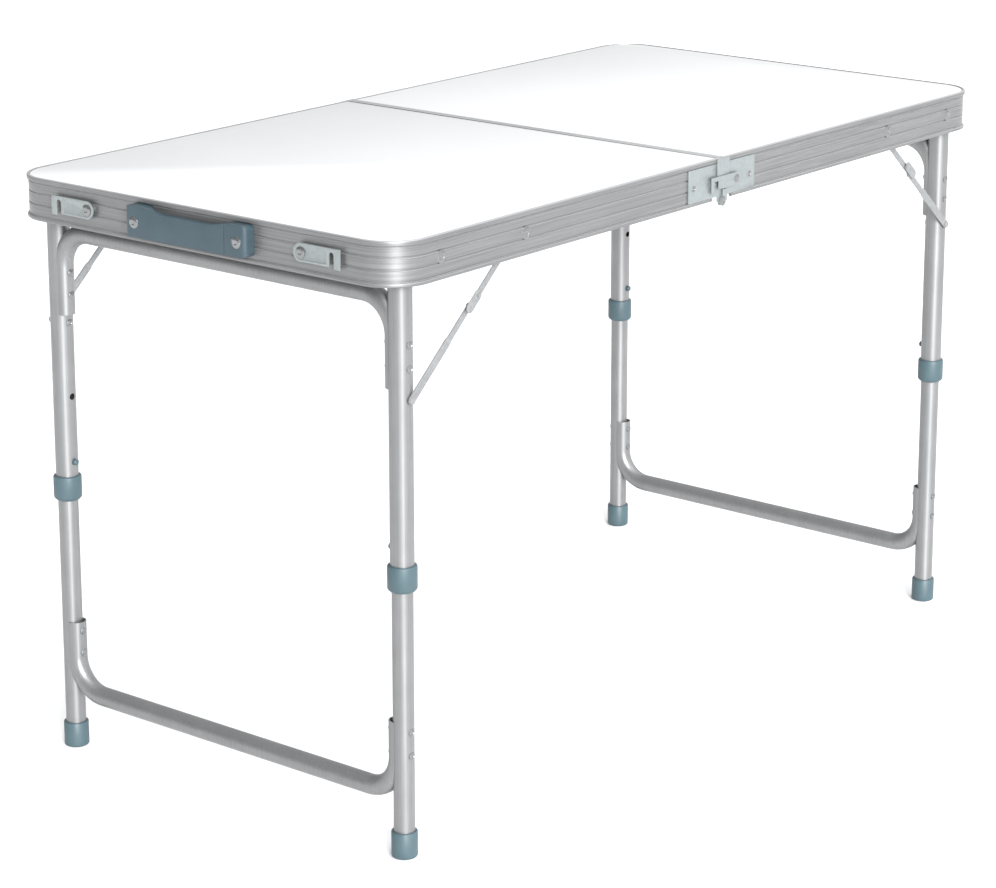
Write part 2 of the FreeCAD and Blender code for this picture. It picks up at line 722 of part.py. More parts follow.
def handle_front():
    """The handle seen from the end: rounded corners and a top edge that sinks between its shoulders."""
    half = "handle_length / 2"
    inside = f"({half} - handle_round)"
    top = "handle_rise"
    curve = "((handle_bend^2 + (handle_dip / 2)^2) / handle_dip)"
    middle = "(handle_shoulder - handle_bend)"
    low_end = "(handle_shoulder - 2 * handle_bend)"

    def corner(start, across, up):
        return (*start, across, up, "handle_round")

    steps = [
        (inside, "0"),
        corner((half, "handle_round"), inside, "handle_round"),
        (half, f"{top} - handle_round"),
        corner((inside, top), inside, f"{top} - handle_round"),
        ("handle_shoulder", top),
        (middle, f"{top} - handle_dip / 2", "handle_shoulder", f"{top} - {curve}", curve),
        (low_end, f"{top} - handle_dip", low_end, f"{top} - handle_dip + {curve}", curve),
        (f"-{low_end}", f"{top} - handle_dip"),
        (f"-{middle}", f"{top} - handle_dip / 2", f"-{low_end}", f"{top} - handle_dip + {curve}", curve),
        ("-handle_shoulder", top, "-handle_shoulder", f"{top} - {curve}", curve),
        (f"-{inside}", top),
        corner((f"-{half}", f"{top} - handle_round"), f"-{inside}", f"{top} - handle_round"),
        (f"-{half}", "handle_round"),
        corner((f"-{inside}", "0"), f"-{inside}", "handle_round"),
    ]
    body = padded("YZ_Plane", (f"-{inside}", "0"), steps, "handle_depth + 4")
    return place(body, f"-({END_WALL} + handle_depth + 2)", z="handle_low")


def handle_plan():
    """The handle seen from above: end blocks on the skirt, a grip that stands off it, finger scallops."""
    half = "handle_length / 2"
    inner = f"({half} - handle_block)"
    back = "(handle_depth - handle_grip)"
    scallops = 4
    scallop = f"(2 * ({inner} - 6) / {scallops})"
    bulge = 1.2
    curve = f"((({scallop}) / 2)^2 + {bulge}^2) / (2 * {bulge})"

    def point(out, across):
        return (f"-({END_WALL} + {out})", across)

    def corner(out, across, centre_across):
        return (*point(out, across), *point("handle_depth - handle_round", centre_across), "handle_round")

    steps = [
        point("handle_depth - handle_round", f"-{half}"),
        corner("handle_depth", f"-{half} + handle_round", f"-{half} + handle_round"),
        point("handle_depth", f"-{inner} - 0.9"),
        point("handle_depth - 1.6", f"-{inner} - 0.5"),
        point("handle_depth - 1.6", f"-{inner} + 0.5"),
        point("handle_depth - 0.5", f"-{inner} + 0.9"),
        point("handle_depth - 0.5", f"{inner} - 8"),
        point("handle_depth", f"{inner} + 4"),
        point("handle_depth", f"{half} - handle_round"),
        corner("handle_depth - handle_round", half, f"{half} - handle_round"),
        point("0", half),
        point("0", f"{inner} + 2"),
        point("3", inner),
        point(back, f"{inner} - 6"),
    ]
    for index in range(scallops):
        across = f"({inner} - 6 - {index + 1} * {scallop})"
        centre = point(f"{back} - {bulge} + {curve}", f"{across} + {scallop} / 2")
        steps.append((*point(back, across), *centre, curve))
    steps += [point("3", f"-{inner}"), point("0", f"-{inner} - 2")]
    body = padded("XY_Plane", point("0", f"-{half}"), steps, "handle_rise + 4")
    return place(body, z="handle_low - 2")


def carrying_handle():
    """A moulded strap handle: its plan and its front outline in one."""
    body = doc.addObject("Part::MultiCommon", "Handle")
    body.Shapes = [handle_plan(), handle_front()]
    rivet_holes = [rod("X", f"-{END}", f"{side} * handle_rivet", "table_height - handle_rivet_drop",
                       "rivet_hole_radius", "60")
                   for side in SIDES]
    return node("carrying_handle", "a", cut(body, *rivet_holes))


def handle_rivets():
    solids = []
    for side in SIDES:
        pin = double_headed_pin("skirt_rivet_radius", "handle_depth + wall_inner - bead_depth",
                                "handle_head_radius",
                                "skirt_head_height")
        solids.append(place(pin, f"-({END_WALL} + handle_depth)", f"{side} * handle_rivet",
                            "table_height - handle_rivet_drop", "+X"))
    return node("handle_rivets", "a", *solids)


# ---- leg frames ----

def tube(side, outer, bore, low, top):
    middle = f"({low} + {top}) / 2"
    y = f"{side} * leg_spread"
    return cut(rod("Z", "-leg_inset", y, middle, outer, f"{top} - {low}"),
               rod("Z", "-leg_inset", y, middle, bore, f"{top} - {low} + 2"))


def leg_tube(side):
    y = f"{side} * leg_spread"
    holes = [rod("Y", "-leg_inset", y, height, radius, "40") for height, radius in (
        ("pivot_height", "pivot_pin_radius"),
        ("upper_rivet_top", "leg_rivet_radius"),
        ("upper_rivet_low", "leg_rivet_radius"),
        ("(pivot_height - brace_drop)", "leg_rivet_radius"),
    )]
    holes += [rod("Y", "-leg_inset", f"{side} * (leg_spread - leg_outer)", height, "button_hole", "10")
              for height in ("button_height", "(button_height + spare_hole_step)")]
    return cut(tube(side, "leg_outer", "leg_bore", "leg_bottom", "leg_top"), *holes)


def foot_tube(side):
    y = f"{side} * leg_spread"
    holes = [rod("Y", "-leg_inset", y, height, "leg_rivet_radius", "40")
             for height in ("lower_rivet_top", "lower_rivet_low")]
    holes.append(rod("Y", "-leg_inset", f"{side} * (leg_spread - foot_outer)", "button_height",
                     "button_hole", "8"))
    return cut(tube(side, "foot_outer", "foot_bore", "foot_bottom", "foot_top"), *holes)


def cross_tube(bar, end, leg_radius, rivets):
    """A U-bent cross tube whose ends are saddled over the inner sides of the two leg tubes."""
    body = doc.addObject("PartDesign::Body", "CrossTube")
    reach = "(leg_spread - cross_offset)"
    rising = number(f"{end} - {bar}") > 0
    bend_z = f"{bar} + cross_bend" if rising else f"{bar} - cross_bend"
    path = trace(new_sketch(body, "YZ_Plane"), (f"-{reach}", end), [
        (f"-{reach}", bend_z),
        (f"-{reach} + cross_bend", bar, f"-{reach} + cross_bend", bend_z, "cross_bend"),
        (f"{reach} - cross_bend", bar),
        (reach, bend_z, f"{reach} - cross_bend", bend_z, "cross_bend"),
        (reach, end),
    ], closed=False)
    ring = new_sketch(body, "XY_Plane", end)
    for radius in ("cross_radius", "cross_bore"):
        centre = FreeCAD.Vector(0, -number(reach), 0)
        circle = ring.addGeometry(Part.Circle(centre, FreeCAD.Vector(0, 0, 1), number(radius)))
        pin_point(ring, circle, 3, "0", f"-{reach}")
        index = ring.addConstraint(Sketcher.Constraint("Radius", circle, number(radius)))
        ring.setExpression(f"Constraints[{index}]", formula(radius))
    pipe = body.newObject("PartDesign::AdditivePipe", "Pipe")
    pipe.Profile = ring
    pipe.Spine = (path, [])
    body.Tip = pipe
    place(body, "-leg_inset")
    saddles = [rod("Z", "-leg_inset", f"{side} * leg_spread", f"({end} + {bar}) / 2",
                   f"{leg_radius} + saddle_gap", "260")
               for side in SIDES]
    holes = [rod("Y", "-leg_inset", "0", height, "leg_rivet_radius", f"2 * {reach}") for height in rivets]
    return cut(body, *saddles, *holes)


def leg_rivet(side, height, radius):
    """A rivet through a leg tube and the cross tube's saddle, with a head at each end."""
    length = f"leg_spread + {radius} - {CROWN}"
    pin = double_headed_pin("leg_rivet_radius", length, "leg_head_radius", "leg_head_height")
    return place(pin, "-leg_inset", f"{side} * (leg_spread + {radius})", height, inward(side))


def brace_stub(side):
    """The leg's half of the brace pivot: headed inside, cut flush outside."""
    length = "2 * leg_outer + 0.8"
    pin = headed_pin("leg_rivet_radius", length, "leg_head_radius", "leg_head_height")
    return place(pin, "-leg_inset", f"{side} * (leg_spread - leg_outer)", "pivot_height - brace_drop",
                 outward(side))


def pivot_pin(side):
    length = "2 * (leg_outer + bracket_gap + bracket_wall) + 0.2"
    pin = double_headed_pin("pivot_pin_radius", length, "pivot_head_radius", "pivot_head_height")
    start = "(leg_spread + leg_outer + bracket_gap + bracket_wall + 0.1)"
    return place(pin, "-leg_inset", f"{side} * {start}", "pivot_height", inward(side))


def collar(side):
    body = turned(("collar_lip", "0"), [
        ("leg_outer + 0.6", "0"),
        ("collar_radius - 0.4", "2.6"),
        ("collar_radius", "4.2"),
        ("collar_radius", "collar_height - 2"),
        ("collar_radius - 0.6", "collar_height - 0.6"),
        ("collar_radius - 1.6", "collar_height"),
        ("leg_outer", "collar_height"),
        ("leg_outer", "leg_bottom - collar_bottom"),
        ("collar_lip", "leg_bottom - collar_bottom"),
    ])
    return place(body, "-leg_inset", f"{side} * leg_spread", "collar_bottom")


def foot_cap(side):
    body = turned(("0", "0"), [
        ("cap_radius - cap_round", "0"),
        ("cap_radius", "cap_round", "cap_radius - cap_round", "cap_round", "cap_round"),
        ("cap_radius", "cap_height - 1.2"),
        ("cap_radius - 0.8", "cap_height"),
        ("foot_outer", "cap_height"),
        ("foot_outer", "foot_bottom"),
        ("0", "foot_bottom"),
    ])
    return place(body, "-leg_inset", f"{side} * leg_spread")


def snap_button(side):
    cap = dome("button_radius", "button_dome")
    body = turned(("0", "0"), [
        ("button_radius", "0"),
        ("button_radius", "button_length - button_dome"),
        ("0", "button_length", "0", f"button_length - {cap}", cap),
    ])
    return place(body, "-leg_inset", f"{side} * (leg_spread - button_root)", "button_height",
                 inward(side))


def button_spring(side):
    """A bent strip inside the foot tube, behind the button."""
    sign = "" if side == "1" else "-"
    points = [("10.7", "-38"), ("10.7", "-5"), ("6", "5"), ("-5", "5"), ("-8", "-1"), ("-8", "-13"),
              ("-7.4", "-13"),
              ("-7.4", "-1.2"), ("-4.7", "4.4"), ("5.7", "4.4"), ("10.1", "-5.2"), ("10.1", "-38")]
    outline = [(f"{sign}({across})", rise) for across, rise in points]
    body = padded("YZ_Plane", outline[0], outline[1:], "6")
    return place(body, "-leg_inset - 3", f"{side} * leg_spread", "button_height")


def lower_link(side):
    """The brace's lower link, drawn along +X from the leg pivot, with the knee rivet as its own solid."""
    plane = f"{side} * lower_link_plane"
    wide_end = f"(0.62 * {LOWER_LINK})"
    bar = fuse(
        rod("Y", "0", plane, "0", "link_wide / 2", "link_wall"),
        block(f"{wide_end} / 2", plane, "0", wide_end, "link_wall", "link_wide"),
        rod("Y", wide_end, plane, "0", "link_wide / 2", "link_wall"),
        block(f"({LOWER_LINK} + {wide_end}) / 2", plane, "0", f"{LOWER_LINK} - {wide_end}", "link_wall",
              "link_narrow"),
        rod("Y", LOWER_LINK, plane, "0", "link_narrow / 2", "link_wall"),
        rod("Y", "0", f"{side} * (lower_link_plane + link_wall / 2 + 0.65)", "0", "link_head_radius",
            "1.3"),
    )
    drilled = cut(bar, rod("Y", LOWER_LINK, plane, "0", "link_pin_radius", "10"))
    inner = "(lower_link_plane - link_wall / 2)"
    outer = "(upper_link_plane + link_wall / 2)"
    knee = fuse(
        rod("Y", LOWER_LINK, f"{side} * ({inner} + {outer}) / 2", "0", "link_pin_radius",
            f"{outer} - {inner}"),
        rod("Y", LOWER_LINK, f"{side} * ({inner} - 0.35)", "0", "link_head_radius", "0.7"),
        rod("Y", LOWER_LINK, f"{side} * ({outer} + 0.5)", "0", "link_head_radius", "0.8"),
    )
    return drilled, fuse(knee, rod("Y", LOWER_LINK, f"{side} * ({outer} + 0.1)", "0", "link_pin_radius",
                                   "0.4"))


def upper_link(side):
    """The brace's upper link, from the knee to the skirt, with a small stud for the lock lever."""
    plane = f"{side} * upper_link_plane"
    bar = fuse(
        rod("Y", LOWER_LINK, plane, "0", "link_narrow / 2", "link_wall"),
        block(f"({LOWER_LINK} + {BRACE_LENGTH}) / 2", plane, "0", f"{BRACE_LENGTH} - {LOWER_LINK}",
              "link_wall",
              "link_narrow"),
        rod("Y", BRACE_LENGTH, plane, "0", "link_narrow / 2 + 0.6", "link_wall"),
    )
    drilled = cut(
        bar,
        rod("Y", LOWER_LINK, plane, "0", "link_pin_radius + 0.05", "10"),
        rod("Y", BRACE_LENGTH, plane, "0", "rivet_hole_radius", "10"),
    )
    face = "(upper_link_plane + link_wall / 2)"
    tip = "(lock_plane + lock_wall / 2)"
    x = f"({LOWER_LINK} + lock_pivot)"
    return fuse(
        drilled,
        rod("Y", x, f"{side} * ({face} + {tip} + 0.1) / 2", "0", "lock_pin_radius",
            f"{tip} + 0.1 - {face}"),
        rod("Y", x, f"{side} * ({tip} + 0.35)", "0", "lock_pin_radius + 1", "0.5"),
        rod("Y", x, f"{side} * ({face} + 0.55)", "0", "lock_pin_radius + 1", "1.1"),
    )


def brace_lock(side):
    """The small lever over the knee, which a thumb lifts to break the brace."""
    plane = f"{side} * lock_plane"
    middle = f"({LOWER_LINK} + 6.5)"
    radius = "lock_height / 2"
    straight = "(lock_length - lock_height)"
    bar = fuse(
        block(middle, plane, "lock_lift", straight, "lock_wall", "lock_height"),
        rod("Y", f"{middle} - {straight} / 2", plane, "lock_lift", radius, "lock_wall"),
        rod("Y", f"{middle} + {straight} / 2", plane, "lock_lift", radius, "lock_wall"),
    )
    return cut(bar, rod("Y", f"{LOWER_LINK} + lock_pivot", plane, "0", "lock_pin_radius + 0.05", "10"))


def stand_brace(*parts):
    return [tilt(part, BRACE_ANGLE, "-leg_inset", "pivot_height - brace_drop") for part in parts]


def leg_frame(leaf):
    """A leg frame and its braces: upper tubes on the leaf, foot tubes that slide in them."""
    frame = f"leg_{leaf}"
    foot = f"foot_{leaf}"
    upper_rivets = ("upper_rivet_top", "upper_rivet_low")
    lower_rivets = ("lower_rivet_top", "lower_rivet_low")
    node(f"{frame}_tubes", leaf, *[leg_tube(side) for side in SIDES])
    node(f"{frame}_cross_tube", leaf, cross_tube("upper_bar_height", "upper_bar_end", "leg_outer",
                                                 upper_rivets))
    node(f"{frame}_collars", leaf, *[collar(side) for side in SIDES])
    node(f"{frame}_pivot_pins", leaf, *[pivot_pin(side) for side in SIDES])
    node(f"{frame}_rivets", leaf,
         *[leg_rivet(side, height, "leg_outer") for side in SIDES for height in upper_rivets],
         *[brace_stub(side) for side in SIDES])
    node(f"{foot}_tubes", leaf, *[foot_tube(side) for side in SIDES])
    node(f"{foot}_cross_tube", leaf, cross_tube("lower_bar_height", "lower_bar_end", "foot_outer",
                                                lower_rivets))
    node(f"{foot}_caps", leaf, *[foot_cap(side) for side in SIDES])
    node(f"{foot}_rivets", leaf, *[leg_rivet(side, height, "foot_outer") for side in SIDES
                                   for height in lower_rivets])
    node(f"{foot}_springs", leaf, *[button_spring(side) for side in SIDES])
    for side in SIDES:
        drawn_side = SIDE_NAMES[side] if leaf == "a" else SIDE_NAMES[SIDES[side == "-1"]]
        node(f"snap_button_{leaf}_{drawn_side}", leaf, snap_button(side))
        node(f"brace_{leaf}_{drawn_side}_lower", leaf, *stand_brace(*lower_link(side)))
        node(f"brace_{leaf}_{drawn_side}_upper", leaf, *stand_brace(upper_link(side)))
        node(f"brace_{leaf}_{drawn_side}_lock", leaf, *stand_brace(brace_lock(side)))


# ---- the table ----

hook_holes = [(f"{side} * hook_pivot", "table_height - hook_pivot_drop", "hook_rivet_radius + 0.05")
              for side in SIDES]
handle_holes = [(f"{side} * handle_rivet", "table_height - handle_rivet_drop", "rivet_hole_radius")
                for side in SIDES]
catch_holes = [(f"{side} * catch_spread", "table_height - catch_drop", "rivet_hole_radius")
               for side in SIDES]

for leaf_name, end_fixings in (("a", hook_holes + handle_holes), ("b", catch_holes)):
    skirt_frame(leaf_name, end_fixings)
    table_board(leaf_name)
    centre_rail(leaf_name)
    node(f"leg_brackets_{leaf_name}", leaf_name, *[leg_bracket(side) for side in SIDES])
    skirt_rivets(leaf_name)
    node(f"hinge_plates_{leaf_name}", leaf_name, *[hinge_plate(side, leaf_name == "b") for side in SIDES])
    leg_frame(leaf_name)
hinge_pins()
lock_studs()
lever_rivets()
catch_studs()
carrying_handle()
handle_rivets()
hook_rivets()
for each_side in SIDES:
    closing_hook(each_side)
    lock_lever(each_side)

doc.recompute()

# ---- check, then write one file per sub-part ----

for thing in doc.Objects:
    if {"Invalid", "Error"} & set(thing.State):
        raise RuntimeError(f"{thing.Name} ({thing.Label}) failed: {thing.State}")
if len(nodes) > NODE_LIMIT:
    raise RuntimeError(f"{len(nodes)} sub-parts is more than {NODE_LIMIT}")
for part in nodes:
    if part.Shape.isNull() or not part.Shape.isValid() or not part.Shape.Solids:
        raise RuntimeError(f"{part.Label} has no valid solid")

os.makedirs("parts", exist_ok=True)
for part in nodes:
    part.Shape.exportStep(f"parts/{part.Label}.step")
print(f"{len(nodes)} sub-parts written")
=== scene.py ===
import json
import math

import bmesh
import bpy
from mathutils import Matrix, Vector

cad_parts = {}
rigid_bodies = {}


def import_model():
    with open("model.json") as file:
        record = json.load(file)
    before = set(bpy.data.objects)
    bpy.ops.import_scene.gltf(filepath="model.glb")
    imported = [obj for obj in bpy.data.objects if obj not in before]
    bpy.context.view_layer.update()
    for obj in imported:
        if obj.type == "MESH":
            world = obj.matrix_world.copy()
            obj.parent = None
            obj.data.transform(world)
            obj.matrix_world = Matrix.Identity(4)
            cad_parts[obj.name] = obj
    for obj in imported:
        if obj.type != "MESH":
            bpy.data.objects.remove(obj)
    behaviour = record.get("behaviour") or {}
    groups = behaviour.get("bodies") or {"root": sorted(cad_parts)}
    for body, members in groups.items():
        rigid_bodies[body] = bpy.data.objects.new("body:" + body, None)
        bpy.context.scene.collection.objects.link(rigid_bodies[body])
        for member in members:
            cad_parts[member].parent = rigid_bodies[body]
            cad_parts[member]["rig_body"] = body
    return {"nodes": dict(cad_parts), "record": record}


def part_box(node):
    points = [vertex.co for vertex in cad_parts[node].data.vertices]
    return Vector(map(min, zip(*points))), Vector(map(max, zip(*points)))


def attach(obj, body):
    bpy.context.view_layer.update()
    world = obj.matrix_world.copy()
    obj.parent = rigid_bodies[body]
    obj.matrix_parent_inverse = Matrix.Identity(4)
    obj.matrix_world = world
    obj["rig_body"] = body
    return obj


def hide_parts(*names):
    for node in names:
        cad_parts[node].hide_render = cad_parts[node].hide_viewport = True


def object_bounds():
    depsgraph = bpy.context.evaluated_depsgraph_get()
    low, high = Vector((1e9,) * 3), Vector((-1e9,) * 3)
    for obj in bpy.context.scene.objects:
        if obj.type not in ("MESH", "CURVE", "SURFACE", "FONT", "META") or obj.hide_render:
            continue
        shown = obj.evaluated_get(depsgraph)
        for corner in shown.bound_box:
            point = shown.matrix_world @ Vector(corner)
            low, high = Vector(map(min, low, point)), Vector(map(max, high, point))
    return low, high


MM = 0.001

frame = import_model()
cad_low, cad_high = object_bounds()

# ---- sizes of the edge extrusion, read from the CAD or repeated from it, in metres ----

SKIRT_LOW, SKIRT_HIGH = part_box("skirt_frame_a")
HALF_WIDTH = SKIRT_HIGH.y
HALF_LENGTH = -SKIRT_LOW.x
TOP = SKIRT_HIGH.z
SEAM_GAP = -SKIRT_HIGH.x
SKIRT_DEPTH = TOP - SKIRT_LOW.z
CORNER = 52 * MM
LEDGE_CUT = 24.3 * MM
BEAD_NOTCH = 20 * MM
CORNER_STEPS = 28

# ---- sizes of its section, in mm: depths count inwards, drops count down from the top ----

WALL_FACE = 2.0
WALL_BACK = 4.0
TOP_BEAD = 6.0
LOW_BEAD = 4.2
LEDGE_HIGH = 5.0
LEDGE_LOW = 6.8
LEDGE_DEPTH = 14.0
SEAM_END_RISE = 0.6
INSIDE_START = 30.0
GROOVE_LIP = 0.2
SECTION_DEPTH = SKIRT_DEPTH / MM
GROOVES = (
    (7.3, 0.7, 0.7),
    (19.0, 1.4, 1.5),
    (33.3, 1.4, 1.5),
    (SECTION_DEPTH - LOW_BEAD - 1.6, 0.9, 1.2),
)

# ---- how a CAD node's mesh is refined ----

SMOOTH_DEGREES = 32
BEVEL_DEGREES = 34
FLAT_DEGREES = 0.8
WELD = 2e-6
BEVEL_SEGMENTS = 2
HANDLE_SEGMENTS = 4

# ---- camera, floor and light ----

CAMERA_PLACE = (-3.12152, -2.48207, 1.51463)
CAMERA_YAW = -51.4351
CAMERA_PITCH = -14.5458
CAMERA_ROLL = 0.0773
CAMERA_LENS = 114.2014
CAMERA_SENSOR = 36
CAMERA_SHIFT = (-0.024817, -0.124242)
CAMERA_CLIP = (0.05, 100)
FLOOR_SIZE = 40
LAMP_DISTANCE = 6
WORLD_COLOUR = (0.975, 0.985, 1.0, 1)
WORLD_DIM = 0.35
WORLD_BRIGHT = 1.3
WORLD_BRIGHT_SIDE = (0.45, -0.8, 0.4)
WORLD_SPREAD = 0.8


# ---- meshes ----

def add_piece(name, mesh, body, material, nodes=()):
    """Puts a mesh in the scene as one piece of a body, in place of the CAD nodes that it stands for."""
    piece = bpy.data.objects.new(name, mesh)
    bpy.context.scene.collection.objects.link(piece)
    mesh.materials.clear()
    mesh.materials.append(material)
    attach(piece, body)
    if nodes:
        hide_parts(*nodes)
    return piece


def smooth(mesh):
    """Smooth shading, with the sharp edges kept sharp."""
    for face in mesh.polygons:
        face.use_smooth = True
    mesh.set_sharp_from_angle(angle=math.radians(SMOOTH_DEGREES))


def refined(node, width, segments):
    """A copy of a CAD node's mesh with flat faces joined and its sharp edges rounded."""
    source = frame["nodes"][node]
    work = bmesh.new()
    work.from_mesh(source.data)
    bmesh.ops.remove_doubles(work, verts=work.verts, dist=WELD)
    flat = math.radians(FLAT_DEGREES)
    bmesh.ops.dissolve_limit(work, angle_limit=flat, verts=work.verts, edges=work.edges)
    mesh = bpy.data.meshes.new(f"{node}_fine")
    work.to_mesh(mesh)
    work.free()
    holder = bpy.data.objects.new(f"{node}_work", mesh)
    bpy.context.scene.collection.objects.link(holder)
    bevel = holder.modifiers.new("Edges", "BEVEL")
    bevel.width = width
    bevel.segments = segments
    bevel.limit_method = "ANGLE"
    bevel.angle_limit = math.radians(BEVEL_DEGREES)
    bevel.use_clamp_overlap = True
    bevel.harden_normals = False
    depsgraph = bpy.context.evaluated_depsgraph_get()
    ready = bpy.data.meshes.new_from_object(holder.evaluated_get(depsgraph))
    bpy.data.objects.remove(holder)
    ready.name = f"{node}_fine"
    smooth(ready)
    return ready


def body_of_node(node):
    """The body that carries a CAD node."""
    return frame["nodes"][node]["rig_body"]


def slot_of(node):
    """The material slot that the record gives a CAD node."""
    rows = frame["record"]["subparts"]
    return next(row["material_slot"] for row in rows if row["node"] == node)


def arc(centre, radius, start, end, steps):
    """Points on a circle in a section, angles in degrees."""
    points = []
    for step in range(steps + 1):
        angle = math.radians(start + (end - start) * step / steps)
        points.append((centre[0] + radius * math.cos(angle), centre[1] + radius * math.sin(angle)))
    return points


def sweep(name, section, stations):
    """Sweeps a closed section of (depth, drop) points along stations of (place, outward, run)."""
    work = bmesh.new()
    grain = work.verts.layers.float_vector.new("grain")
    rows = []
    for place, outward, run in stations:
        row = []
        around = 0.0
        previous = section[0]
        for depth, drop in section:
            around += math.hypot(depth - previous[0], drop - previous[1])
            previous = (depth, drop)
            corner = (place.x - outward.x * depth, place.y - outward.y * depth, TOP - drop)
            vertex = work.verts.new(Vector(corner))
            vertex[grain] = (run, around, 0.0)
            row.append(vertex)
        rows.append(row)
    count = len(section)
    for first, second in zip(rows, rows[1:]):
        for index in range(count):
            after = (index + 1) % count
            work.faces.new((first[index], first[after], second[after], second[index]))
    work.faces.new(rows[0])
    work.faces.new(list(reversed(rows[-1])))
    bmesh.ops.recalc_face_normals(work, faces=work.faces)
    mesh = bpy.data.meshes.new(name)
    work.to_mesh(mesh)
    work.free()
    smooth(mesh)
    return mesh


# ---- materials ----

def new_material(name):
    """A new material with its tree and its main shader."""
    material = bpy.data.materials.new(name)
    material.use_nodes = True
    tree = material.node_tree
    return material, tree, tree.nodes["Principled BSDF"]


def coordinates(tree, scale, attribute=None):
    """Coordinates in metres, stretched: the object's own, or a piece's grain."""
    mapping = tree.nodes.new("ShaderNodeMapping")
    mapping.inputs["Scale"].default_value = scale
    if attribute:
        source = tree.nodes.new("ShaderNodeAttribute")
        source.attribute_name = attribute
        tree.links.new(source.outputs["Vector"], mapping.inputs["Vector"])
    else:
        source = tree.nodes.new("ShaderNodeTexCoord")
        tree.links.new(source.outputs["Object"], mapping.inputs["Vector"])
    return mapping.outputs["Vector"]


def noise(tree, vector, scale, detail=3.0, roughness=0.5):
    """A fractal noise from 0 to 1."""
    texture = tree.nodes.new("ShaderNodeTexNoise")
    texture.inputs["Scale"].default_value = scale
    texture.inputs["Detail"].default_value = detail
    texture.inputs["Roughness"].default_value = roughness
    tree.links.new(vector, texture.inputs["Vector"])
    return texture.outputs["Fac"]


def between(tree, factor, low, high, source_low=0.3, source_high=0.7):
    """Spreads a noise over a range of values."""
    spread = tree.nodes.new("ShaderNodeMapRange")
    spread.inputs["From Min"].default_value = source_low
    spread.inputs["From Max"].default_value = source_high
    spread.inputs["To Min"].default_value = low
    spread.inputs["To Max"].default_value = high
    tree.links.new(factor, spread.inputs["Value"])
    return spread.outputs["Result"]


def ramp(tree, factor, colours, low=0.3, high=0.7):
    """Spreads a noise over a pair of colours."""
    scale = tree.nodes.new("ShaderNodeValToRGB")
    scale.color_ramp.elements[0].position = low
    scale.color_ramp.elements[1].position = high
    scale.color_ramp.elements[0].color = (*colours[0], 1)
    scale.color_ramp.elements[1].color = (*colours[1], 1)
    tree.links.new(factor, scale.inputs["Fac"])
    return scale.outputs["Color"]


def multiply(tree, first, second):
    """The product of two colours."""
    mix = tree.nodes.new("ShaderNodeMix")
    mix.data_type = "RGBA"
    mix.blend_type = "MULTIPLY"
    mix.inputs["Factor"].default_value = 1.0
    tree.links.new(first, mix.inputs[6])
    tree.links.new(second, mix.inputs[7])
    return mix.outputs[2]


def bump(tree, height, distance, strength):
    """A surface relief, its distance in metres."""
    node = tree.nodes.new("ShaderNodeBump")
    node.inputs["Distance"].default_value = distance
    node.inputs["Strength"].default_value = strength
    tree.links.new(height, node.inputs["Height"])
    return node.outputs["Normal"]


def laminate():
    """White melamine board: a faint orange peel, a slow change of tone and soft scuffs."""
    material, tree, shader = new_material("white_laminate")
    wide = coordinates(tree, (1, 1, 1))
    tone = ramp(tree, noise(tree, wide, 3.0, 2.0), ((0.6, 0.602, 0.603), (0.617, 0.618, 0.618)))
    speck = ramp(tree, noise(tree, wide, 900.0, 2.0), ((0.975, 0.975, 0.975), (1, 1, 1)))
    tree.links.new(multiply(tree, tone, speck), shader.inputs["Base Color"])
    tree.links.new(between(tree, noise(tree, wide, 14.0, 5.0), 0.5, 0.6), shader.inputs["Roughness"])
    tree.links.new(bump(tree, noise(tree, wide, 420.0, 2.0), 0.00003, 0.5), shader.inputs["Normal"])
    shader.inputs["Specular IOR Level"].default_value = 0.22
    return material


def stretch_up(tree, shader, amount):
    """Draws highlights out upwards, as fine level brush lines do."""
    upright = tree.nodes.new("ShaderNodeCombineXYZ")
    upright.inputs["Z"].default_value = 1.0
    tree.links.new(upright.outputs["Vector"], shader.inputs["Tangent"])
    shader.inputs["Anisotropic"].default_value = amount


def painted_top_sheen(tree, colour, top_sheen):
    """Paints a highlight on a metal where it faces up: upward faces are mixed towards a lighter colour,
    a painted sheen for the light from above.
    """
    geometry = tree.nodes.new("ShaderNodeNewGeometry")
    height = tree.nodes.new("ShaderNodeSeparateXYZ")
    tree.links.new(geometry.outputs["Normal"], height.inputs["Vector"])
    mix = tree.nodes.new("ShaderNodeMix")
    mix.data_type = "RGBA"
    mix.inputs[7].default_value = (*top_sheen, 1)
    # How far each face is mixed towards the lighter colour follows how much it faces up: painted
    # highlight.
    tree.links.new(between(tree, height.outputs["Z"], 0.0, 0.85, 0.25, 0.8), mix.inputs["Factor"])
    tree.links.new(colour, mix.inputs[6])
    return mix.outputs[2]


